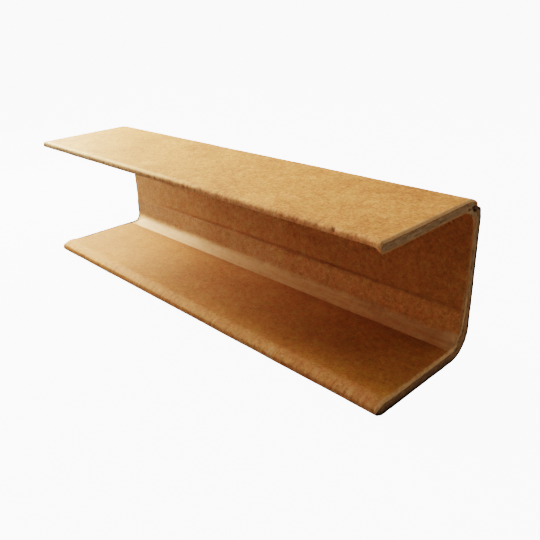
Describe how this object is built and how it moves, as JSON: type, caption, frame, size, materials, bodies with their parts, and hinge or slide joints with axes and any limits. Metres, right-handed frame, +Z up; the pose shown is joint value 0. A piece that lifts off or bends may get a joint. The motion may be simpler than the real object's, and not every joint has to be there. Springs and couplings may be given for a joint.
{
  "type": "paper u-channel edge protector",
  "caption": "Short U-shaped edge protector folded from thick laminated kraft paper board: two flanges, a closed web, wrapped free edges and an open mouth.",
  "frame": {"origin": "on the underside, at the middle of the length and of the flange width", "axes": "+X along the channel's length, +Y towards the closed web (the mouth opens to -Y), +Z up, with the lower flange lying on the ground"},
  "size_m": [0.193, 0.05, 0.055],
  "materials": {
    "kraft_board": "matte"
  },
  "bodies": {
    "root": {"edge_protector": "kraft_board"}
  },
  "joints": []
}
